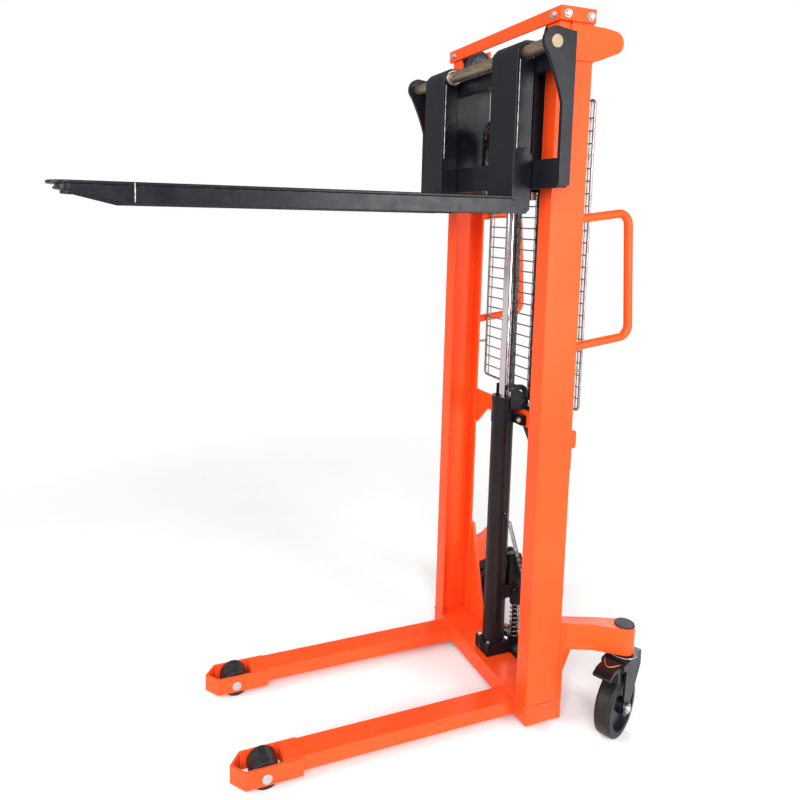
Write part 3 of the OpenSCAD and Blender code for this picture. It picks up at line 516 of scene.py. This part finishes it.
for side in ("left", "right"):
    rebuilt("load_roller_" + side, NYLON, 1.8, 3)
    rebuilt("caster_fork_" + side, BLACK, 1.4)
    rebuilt("caster_hub_" + side, BLACK, 1.0)
    rebuilt("caster_tyre_" + side, TYRE, 0.8)
    rebuilt("brake_pedal_" + side, BLACK, 1.6, 3)


def grab_handle(name):
    """Bent tube with weld rings where it meets the channel."""
    low, high = span("grab_handle_" + name)
    x = (low.x + high.x) / 2
    upper, lower = 1524, 1160
    tube_r, ring_r, bend_r, bead_r, ripple = 12.5, 13.2, 34, 2.6, 0.005

    def bead(distance):
        return bead_r * MM * (0.88 + 0.12 * abs(math.sin(distance / ripple * math.pi)))

    bm = bmesh.new()
    path = rounded([at(x, HALF_DEPTH, upper), at(x, 222, upper + 21), at(x, 247, lower + 26),
                    at(x, HALF_DEPTH, lower)], bend_r * MM, 12)
    sweep(bm, path, tube_r * MM, 28)
    for z in (upper, lower):
        ring = [at(u, HALF_DEPTH + 1.0, v) for u, v in circle(x, z, ring_r, 40)]
        sweep(bm, ring, bead, 8, closed=True)
    piece("grab_handle_%s_looks" % name, bm, "frame", ORANGE,
          replaces=("grab_handle_" + name,))


for side_name in ("left", "right"):
    grab_handle(side_name)


def mesh_guard():
    """Wire guard: an outer wire, upright wires and rungs, with spot welded crossings."""
    half = 262.0
    bottom, top, y = 965.0, 1855.0, 98.0
    uprights = (-244, -160, -80, 0, 80, 160, 244)
    rungs, rung_pitch = 25, 35
    wire_r, outer_r, blob_r = 2.25, 4, 3.0
    bm = bmesh.new()
    corners = [at(-half, y, bottom), at(half, y, bottom), at(half, y, top), at(-half, y, top)]
    sweep(bm, rounded(corners, 14 * MM, 8, closed=True), outer_r * MM, 16, closed=True)
    for x in uprights:
        sweep(bm, [at(x, y + wire_r, bottom), at(x, y + wire_r, top)], wire_r * MM, 10)
    for i in range(1, rungs):
        z = bottom + rung_pitch * i
        sweep(bm, [at(-half, y - 2.1, z), at(half, y - 2.1, z)], wire_r * MM, 10)
        for x in uprights:
            bmesh.ops.create_icosphere(bm, subdivisions=1, radius=blob_r * MM,
                                       matrix=Matrix.Translation(at(x, y, z)))
    for side in (-1, 1):
        for z in (1085, 1700):
            sweep(bm, [at(side * half, HALF_DEPTH, z), at(side * half, y, z)], outer_r * MM, 14)
            drum(bm, at(side * half, HALF_DEPTH, z), (0, 1, 0), 4, 22, 0.8, 24)
    piece("mesh_guard_looks", bm, "frame", GUARD, replaces=("mesh_guard",))


mesh_guard()


def frame_bolts():
    """Hexagon bolts of the top beam, the cylinder clamp and the pump block."""
    bm = bmesh.new()
    cheek, beam_x, beam_front, bolt_z = 308.0, 276, -64, 2060.0
    clamp_x, clamp_front, clamp_z = 52, 38, 884
    for side in (-1, 1):
        for y in (-42, 32):
            hexagon_bolt(bm, at(side * cheek, y, bolt_z), (side, 0, 0), 16, 8)
        hexagon_bolt(bm, at(side * beam_x, beam_front, bolt_z), (0, -1, 0), 16, 8)
        hexagon_bolt(bm, at(side * clamp_x, clamp_front, clamp_z), (0, -1, 0), 14, 8)
    for x in (-26, 26):
        for y in (-24, 44):
            drum(bm, at(x, y, 124), (0, 0, 1), 7, 13, 0.8, 28)
    piece("frame_bolts_looks", bm, "frame", ZINC, bevel=0.4, replaces=("frame_bolts",))


frame_bolts()


def oil_hose():
    """Rubber hose with crimped ends, arching over the middle tie bar."""
    bm = bmesh.new()
    x, low_x, y, gland_y = 20, 66, 79, 26
    path = [at(x, gland_y, 956), at(x, gland_y, 982), at(x, y, 982), at(x, y, 868), at(low_x, y, 812),
            at(low_x, y, 124)]
    sweep(bm, rounded(path, 22 * MM, 12), 9 * MM, 22)
    piece("oil_hose_looks", bm, "frame", PAD, replaces=("oil_hose",))
    bm = bmesh.new()
    crimp = [(0, 0), (0, 10.2), (2, 10.6), (7, 10.6), (8, 9.7), (10, 10.6), (15, 10.6), (16, 9.2), (16, 0)]
    for centre in (at(x, gland_y, 954), at(low_x, y, 122)):
        lathe(bm, centre, (0, 0, 1), crimp, 32)
    lathe(bm, at(low_x, y, 103), (0, 0, 1), [(0, 0), (0, 11.8), (1, 12.6), (17, 12.6), (19, 11), (19, 0)], 6)
    piece("hose_ends", bm, "frame", ZINC, bevel=0.3)


oil_hose()


def frame_welds(side, label):
    """Seams on one side of the frame and of the carriage, where plates and tubes meet."""
    bead = 0.4
    inner, outer = LEG_X - LEG_HALF, LEG_X + LEG_HALF
    pocket_z = LEG_TOP - 5.2
    weld("weld_mast_%s" % label, [
        seam(side, MAST_HALF + bead, (-54, 54), BASE_TOP),
        seam(side, (240, 292), -HALF_DEPTH - bead, BASE_TOP),
        seam(side, 286, (-46, 46), BASE_TOP + 0.6)], "frame")
    weld("weld_leg_%s" % label, [
        seam(side, (166, 233), -56.6, LEG_TOP + bead),
        seam(side, inner - bead, -56.8, (31, 70)),
        seam(side, outer + bead, -56.8, (31, 70)),
        seam(side, outer + 0.2, (-722, -770), pocket_z),
        seam(side, inner - 0.2, (-722, -770), pocket_z),
        seam(side, outer + 3.6, -720.6, (32, 66))], "frame", size=2.6)
    weld("weld_arm_%s" % label, [
        seam(side, (254, 292), 68.6, 327),
        seam(side, MAST_HALF + 0.2, 69, (230, 325)),
        seam(side, 251.8, 69, (230, 325))], "frame")
    weld("weld_carriage_%s" % label, [
        seam(side, 387.6, (-106, -82), 1677.4),
        seam(side, 387.4, -108.6, (1603, 1675)),
        seam(side, 387.4, -108.6, (1910, 1948)),
        seam(side, 213.6, -78.4, (1603, 1675)),
        seam(side, 226.4, -78.4, (1603, 1675))], "carriage", BLACK_WELD, 2.8)


frame_welds(-1, "left")
frame_welds(1, "right")


# ---------------------------------------------------------------- forks

def fork(side, name):
    """Channel shaped fork: nosed top plate, tapered sides, bent upright and shaft lugs."""
    body = "fork_" + name
    x0 = side * 208.0
    half, wall = 65.0, 6.0
    top, under, low = 1581.0, 1573.0, 1533.0
    front, taper, rear = -168.0, -1150.0, -110.0
    nose, tip, nose_low = -1268.0, -1318.0, 1561
    shaft_y, shaft_z = -138.0, 1960.0

    def flat(u, v, w):
        return at(x0 + u, v, w)

    def upright(u, v, w):
        return at(x0 + w, u, v)

    def nose_line(a, b):
        """Half an ellipse around the nose, a wide and b long."""
        return [(a * u, nose + b * v) for u, v in circle(0, 0, 1, 28, math.pi, math.pi)]

    bm = bmesh.new()
    prism(bm, [(half, front + 4), (-half, front + 4)] + nose_line(half, nose - tip), flat, under, top)
    piece(body + "_blade", bm, body, BLACK, bevel=2.6, segments=3, replaces=(body,))

    bm = bmesh.new()
    skirt = nose_line(half - 0.4, nose - tip - 18)
    inner = nose_line(half - wall - 2, nose - tip - 26)[::-1]
    prism(bm, skirt + inner, flat, nose_low, under)
    for s in (-1, 1):
        edge = s * half
        outline = [(nose, nose_low), (nose, under), (front + 6, under), (front + 6, 1700), (-126, 1712),
                   (rear, 1690), (rear, low + 12), (rear - 12, low), (taper, low)]
        prism(bm, outline, upright, min(edge, edge - s * wall), max(edge, edge - s * wall))
    piece(body + "_sides", bm, body, BLACK, bevel=1.3, segments=2)

    bm = bmesh.new()
    for s in (-1, 1):
        edge = s * (half - 8)
        lug = circle(shaft_y, shaft_z, 27, 20, math.radians(100), -math.radians(150))
        outline = [(front + 6, 1640), (front + 6, shaft_z + 14)] + lug
        outline += [(rear, shaft_z - 20), (rear, 1660), (-124, 1640)]
        holed_prism(bm, outline, circle(shaft_y, shaft_z, 17.3, 32), upright,
                    min(edge, edge - s * wall), max(edge, edge - s * wall))
    piece(body + "_lugs", bm, body, BLACK, bevel=1.0)

    bm = bmesh.new()
    path = [Vector((front + 5, 1566)), Vector((front + 5, 1966)), Vector((-146, 1984)), Vector((-114, 1984))]
    line = rounded(path, 16, 8)
    outer_side, inner_side = [], []
    for i, p in enumerate(line):
        a, b = line[max(i - 1, 0)], line[min(i + 1, len(line) - 1)]
        t = (b - a).normalized()
        n = Vector((-t.y, t.x))
        outer_side.append(tuple(p + n * 5))
        inner_side.append(tuple(p - n * 4))
    prism(bm, outer_side + inner_side[::-1], upright, -half, half)
    piece(body + "_upright", bm, body, BLACK, bevel=1.6, segments=3)

    def both_edges(inset, y, z):
        return [seam(1, x0 + s * (half - inset), y, z) for s in (-1, 1)]

    weld("weld_nose_%s" % name, both_edges(-0.2, -1134, (1536, 1580)), body, BARE_BEAD_AND_GLINT, 1.8)
    weld("weld_fork_%s" % name,
         both_edges(7.6, front + 7, (1716, 1940)) + both_edges(7.6, (-160, -124), 1708),
         body, BLACK_WELD, 2.2)
    # Pale bead along each upright's outer edge: a painted glint of light on the weld.
    weld("glint_bead_fork_%s" % name, both_edges(0.6, front + 8.6, (1706, 1938)), body, BARE_BEAD_AND_GLINT, 1.7)


fork(-1, "left")
fork(1, "right")


def roller_covers():
    """Ringed covers on the inner ends of the carriage rollers' studs."""
    plate_x = 214
    rings = [(0, 0), (0, 31), (1.5, 32), (3, 31), (3, 26), (1.8, 25), (1.8, 21), (4, 20), (4, 12), (2.6, 11),
             (2.6, 0)]
    bm = bmesh.new()
    for s in (-1, 1):
        for z in (1642, 2025):
            lathe(bm, at(s * plate_x, 0, z), (-s, 0, 0), rings, 56)
    piece("roller_covers", bm, "carriage", DARK_STEEL, sharp=30)


roller_covers()


# ---------------------------------------------------------------- chains

PITCH = 19.05  # length of one link
PLATE_H = 14.0  # height of a link plate
CHAIN_W = 23.0  # width of a chain
NARROWER = 0.12  # taken off the width of each next piece, as the pieces slide into each other
CHAIN_X = 60.0
CHAIN_R = 65.0  # radius of the chain on its sheave
CYL_Y = 10.0
SHEAVE_Z = 1770.0
FRONT_Y, REAR_Y = CYL_Y - CHAIN_R, CYL_Y + CHAIN_R


def link_outline(steps=5):
    """Outline of a chain plate along u: two round ends joined by straight sides."""
    r = PLATE_H / 2
    ends = []
    for centre, start in ((PITCH / 2, -90), (-PITCH / 2, 90)):
        ends += [(centre + r * math.cos(math.radians(start + 180 * k / steps)),
                  r * math.sin(math.radians(start + 180 * k / steps))) for k in range(steps + 1)]
    return ends


def chain_link(bm, centre, along, out, odd, width):
    """One pitch of a leaf chain: alternate plates, and a pin through them."""
    across = Vector((1, 0, 0))
    layers, gap, pin_d, pin_end = 11, 0.1, 6.0, 0.6
    step = width / layers
    for k in range(odd, layers, 2):
        w = (-width / 2 + k * step) * MM
        prism(bm, link_outline(), lambda u, v, h: centre + along * u * MM + out * v * MM
              + across * (w + h * MM), gap, step - gap)
    pin = centre - along * 0.5 * PITCH * MM - across * (width / 2 + pin_end) * MM
    drum(bm, pin, across, width + 2 * pin_end, pin_d, 0.4, 12)


def straight_chain(name, y, low, high, inset):
    """Two strands, left and right, between two heights. They ride on nothing yet."""
    bm = bmesh.new()
    count = max(1, round((high - low - PLATE_H * 0.4) / PITCH))
    start = low + ((high - low) - (count - 1) * PITCH) / 2
    for s in (-1, 1):
        for i in range(count):
            chain_link(bm, at(s * CHAIN_X, y, start + i * PITCH), Vector((0, 0, 1)), Vector((0, 1, 0)), i % 2,
                       CHAIN_W - inset)
    return piece(name, bm, None, CHAIN, sharp=40)


def share(obj, a, b, weight):
    """The piece rides on body a at a weight of 0 and on body b at a weight of 1. For a weight between, the
    inverse of the smooth step is found but not used, and the piece stays fixed in the row frame.
    """
    if weight <= 0:
        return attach(obj, a)
    if weight >= 1:
        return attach(obj, b)
    t = 0.5
    for _ in range(40):  # Newton's method for the inverse of the smooth step
        t -= (t * t * (3 - 2 * t) - weight) / max(6 * t * (1 - t), 0.08)
        t = min(1.0, max(0.0, t))
    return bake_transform(obj)


def rear_strands():
    """Strands behind the ram, fixed at the middle tie bar. The lowest part rides on the frame, the top part
    on the ram, and the parts between stay fixed in place.
    """
    low, parts, lap = 945.0, 10, 6
    length = (SHEAVE_Z - low) / parts
    for k in range(parts):
        start = low + k * length
        strand = straight_chain("rear_chain_%02d" % k, REAR_Y, start, start + length + lap, NARROWER * k)
        share(strand, "frame", "ram", k / (parts - 1))
        if k == 0:
            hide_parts("rear_chains")


def front_strands():
    """Strands in front of the ram, fixed to the carriage. The widest part rides on the carriage, the
    narrowest on the ram, and the parts between stay fixed in place.
    """
    low, parts = 1665.0, 9
    for k in range(parts):
        strand = straight_chain("front_chain_%02d" % k, FRONT_Y, low, SHEAVE_Z, NARROWER * k)
        share(strand, "ram", "carriage", 1 - k / (parts - 1))
        if k == 0:
            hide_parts("front_chains")


rear_strands()
front_strands()


def chain_wraps():
    """The part of each chain that lies on its sheave."""
    bm = bmesh.new()
    count = round(math.pi * CHAIN_R / PITCH)
    for s in (-1, 1):
        for i in range(count):
            angle = math.pi * (i + 0.5) / count
            out = Vector((0, math.cos(angle), math.sin(angle)))
            along = Vector((0, -math.sin(angle), math.cos(angle)))
            centre = at(s * CHAIN_X, CYL_Y, SHEAVE_Z) + out * CHAIN_R * MM
            chain_link(bm, centre, along, out, i % 2, CHAIN_W - 0.4)
    piece("sheave_chains_looks", bm, "ram", CHAIN, replaces=("sheave_chains",), sharp=40)


chain_wraps()


def anchor_details():
    """Lock nuts and split pins where the chains are fixed."""
    split_z, rear_z = 1666, 930
    bm = bmesh.new()
    for s in (-1, 1):
        hexagon_bolt(bm, at(s * CHAIN_X, FRONT_Y, split_z - 15), (0, 0, 1), 19, 9, washer=False)
    piece("anchor_nuts", bm, "carriage", ZINC, bevel=0.3)
    bm = bmesh.new()
    for s in (-1, 1):
        x = s * CHAIN_X
        sweep(bm, [at(x - 12, FRONT_Y, split_z), at(x + 12, FRONT_Y, split_z)], 1.6 * MM, 10)
        ring = [at(x - 13, u, v) for u, v in circle(FRONT_Y, split_z, 4, 14)]
        sweep(bm, ring, 1.2 * MM, 8, closed=True)
    piece("split_pins", bm, "carriage", BRASS)
    bm = bmesh.new()
    for s in (-1, 1):
        drum(bm, at(s * CHAIN_X, REAR_Y, rear_z), (0, 0, 1), 17, 12, 0.8, 24)
        hexagon_bolt(bm, at(s * CHAIN_X, REAR_Y, rear_z), (0, 0, 1), 19, 9)
    piece("rear_anchor_nuts", bm, "frame", ZINC, bevel=0.3)


anchor_details()


# ---------------------------------------------------------------- springs and pump details

def pump_spring():
    """Spring around the pump plunger, fixed to the frame."""
    y, seat, length, stroke, wire, radius, turns = 92, 117, 116, 11.6, 4.6, 14.7, 8.5
    bm = bmesh.new()
    path = helix(at(0, y, seat + wire / 2), (0, 0, 1), radius, length - wire, turns)
    sweep(bm, path, wire / 2 * MM, 10)
    obj = piece("pump_spring_looks", bm, "frame", SPRING, replaces=("pump_spring",))
    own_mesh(obj)


pump_spring()


def return_spring():
    """Close wound tension spring with hooks, from the cylinder's stud to the foot lever."""
    x, coil_r, wire_r, coils = 41, 5.3, 1.15, 50
    top, low = at(x, 27, 540), at(x, 87.4, 346)
    axis = (low - top).normalized()
    length = (low - top).length / MM
    lead = axis * 0.004
    bm = bmesh.new()
    sweep(bm, helix(top, axis, coil_r, length, coils, 12, 0.2), wire_r * MM, 6)
    hooks = ([at(x, 5, 571), at(x, 11, 574), at(x, 16, 566), top, top + lead],
             [low - lead, low, at(x, 95, 341), at(x, 89, 335.5), at(x, 84, 340)])
    for hook in hooks:
        sweep(bm, rounded(hook, 4 * MM, 5), wire_r * MM, 8)
    obj = piece("return_spring_looks", bm, None, SPRING, replaces=("return_spring",))
    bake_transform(obj)


return_spring()


def pump_details():
    """Plugs, screws and the filler cap of the pump."""
    block_top, block_rear, block_front = 103, 118, -34
    bm = bmesh.new()
    for x, y in ((-60, 70), (-60, 104), (60, 104)):
        drum(bm, at(x, y, block_top), (0, 0, 1), 6, 12, 0.8, 28)
    hexagon_bolt(bm, at(-34, 86, block_top), (0, 0, 1), 20, 11)
    for x in (0, 48):
        hexagon_bolt(bm, at(x, block_rear, 93), (0, 1, 0), 14, 9)
    hexagon_bolt(bm, at(0, block_front, 104), (0, -1, 0), 17, 9)
    piece("pump_plugs", bm, "frame", DARK_STEEL, bevel=0.3)


pump_details()


# ---------------------------------------------------------------- casters

def caster_details(side, name, turn):
    """Bearing race, axle nuts and brake spring of one caster."""
    swivel_x, swivel_y, race_z = 357, 234, 240
    axle_y, axle_z, nut_x = -34, 95, 35
    spring_half, spring_rise, spring_steps = 22, 30, 16
    c, s = math.cos(math.radians(turn)), math.sin(math.radians(turn))

    def local(x, y, z):
        """A point of the caster, given from its swivel axis and turned with it."""
        return at(side * swivel_x + x * c - y * s, swivel_y + x * s + y * c, z)

    bm = bmesh.new()
    race = [(0, 27), (0, 41), (2, 43), (4.6, 43), (5.4, 40), (5.4, 27)]
    lathe(bm, local(0, 0, race_z), (0, 0, 1), race, 56)
    piece("swivel_race_%s" % name, bm, "caster_" + name, ZINC, bevel=0.4)
    bm = bmesh.new()
    for d in (-1, 1):
        hexagon_bolt(bm, local(d * nut_x, axle_y, axle_z), (d * c, d * s, 0), 19, 11)
    piece("axle_nuts_%s" % name, bm, "caster_" + name, ZINC, bevel=0.4)
    bm = bmesh.new()
    arc = []
    for k in range(spring_steps + 1):
        t = k / spring_steps
        arc.append(local(spring_half * (2 * t - 1), -74 - spring_rise * math.sin(math.pi * t), race_z + 1.5))
    sweep(bm, arc, 1.8 * MM, 8)
    piece("brake_spring_%s" % name, bm, "brake_" + name, TAN)


caster_details(-1, "left", 10)
caster_details(1, "right", 26)


# ---------------------------------------------------------------- stage, light and camera

def stage():
    """Pale floor that turns into plain white away from the object."""
    size, fade_start, fade_end = 14.0, 1.3, 2.8
    bm = bmesh.new()
    bmesh.ops.create_grid(bm, x_segments=1, y_segments=1, size=size,
                          matrix=Matrix.Translation((0, 0, FLOOR)))
    mesh = bpy.data.meshes.new("floor")
    bm.to_mesh(mesh)
    bm.free()
    mat = bpy.data.materials.new("floor")
    mat.use_nodes = True
    tree = mat.node_tree
    shader = tree.nodes["Principled BSDF"]
    shader.inputs["Roughness"].default_value = 0.75
    coords = node(tree, "ShaderNodeTexCoord").outputs["Object"]
    tone = ramp(tree, noise(tree, coords, 3.0), 0.3, 0.7)
    pale = blend_colour(tree, tone, (0.86, 0.86, 0.86), (0.83, 0.83, 0.835))
    tree.links.new(pale, shader.inputs["Base Color"])
    distance = node(tree, "ShaderNodeVectorMath", operation="LENGTH")
    tree.links.new(coords, distance.inputs[0])
    far = ramp(tree, distance.outputs["Value"], fade_start, fade_end)
    glow = node(tree, "ShaderNodeEmission", Strength=1.0)
    mixed = tree.nodes.new("ShaderNodeMixShader")
    tree.links.new(far, mixed.inputs[0])
    tree.links.new(shader.outputs[0], mixed.inputs[1])
    tree.links.new(glow.outputs[0], mixed.inputs[2])
    tree.links.new(mixed.outputs[0], tree.nodes["Material Output"].inputs["Surface"])
    mesh.materials.append(mat)
    floor = added(bpy.data.objects.new("floor", mesh))


def area_light(name, place, target, size, power):
    """A soft white light at one point, turned to another."""
    data = bpy.data.lights.new(name, "AREA")
    data.shape = "RECTANGLE"
    data.size, data.size_y = size
    data.energy = power
    lamp = added(bpy.data.objects.new(name, data))
    lamp.location = place
    lamp.rotation_euler = (Vector(target) - Vector(place)).to_track_quat("-Z", "Y").to_euler()


def lighting():
    """White surroundings that light the front more than the rear, and four soft lights."""
    world = bpy.data.worlds.new("world")
    bpy.context.scene.world = world
    world.use_nodes = True
    tree = world.node_tree
    background = tree.nodes["Background"]
    background.inputs["Color"].default_value = (1.0, 1.0, 1.0, 1.0)
    seen = node(tree, "ShaderNodeLightPath").outputs["Is Camera Ray"]
    split = node(tree, "ShaderNodeSeparateXYZ")
    tree.links.new(node(tree, "ShaderNodeTexCoord").outputs["Generated"], split.inputs[0])
    soft = ramp(tree, split.outputs[1], -0.5, 0.5, FILL_FRONT, FILL_REAR)
    tree.links.new(maths(tree, "MAXIMUM", seen, soft), background.inputs["Strength"])
    area_light("key", (3.9, -2.6, 3.4), (0, -0.2, 1.0), (2.6, 3.0), 300)
    area_light("side", (4.4, 1.6, 1.7), (0.2, 0, 1.0), (1.8, 2.8), 210)
    area_light("front", (0.2, -4.6, 2.6), (0, -0.3, 1.0), (2.4, 2.4), 130)
    area_light("rim", (-2.6, 2.8, 2.8), (0, 0, 1.0), (2.0, 2.0), 90)


def camera():
    """Camera at the right front, a little below the forks, looking slightly down."""
    azimuth, elevation, roll = (math.radians(a) for a in (68.46, -6.40, 1.24))
    forward = Vector((-math.sin(azimuth) * math.cos(elevation), math.cos(azimuth) * math.cos(elevation),
                      math.sin(elevation)))
    level = Vector((math.cos(azimuth), math.sin(azimuth), 0))
    upright = level.cross(forward)
    right = level * math.cos(roll) + upright * math.sin(roll)
    up = upright * math.cos(roll) - level * math.sin(roll)
    data = bpy.data.cameras.new("camera")
    data.sensor_width = 36.0
    data.lens = 32.18
    data.shift_x, data.shift_y = 0.0443, -0.1281
    data.clip_end = 100.0
    eye = added(bpy.data.objects.new("camera", data))
    place = at(1935.1, -1243.1, 1514.6)
    eye.matrix_world = Matrix.Translation(place) @ Matrix((right, up, -forward)).transposed().to_4x4()
    bpy.context.scene.camera = eye


stage()
lighting()
camera()
bpy.context.scene.view_settings.view_transform = "Standard"
bpy.context.scene.view_settings.gamma = 0.93
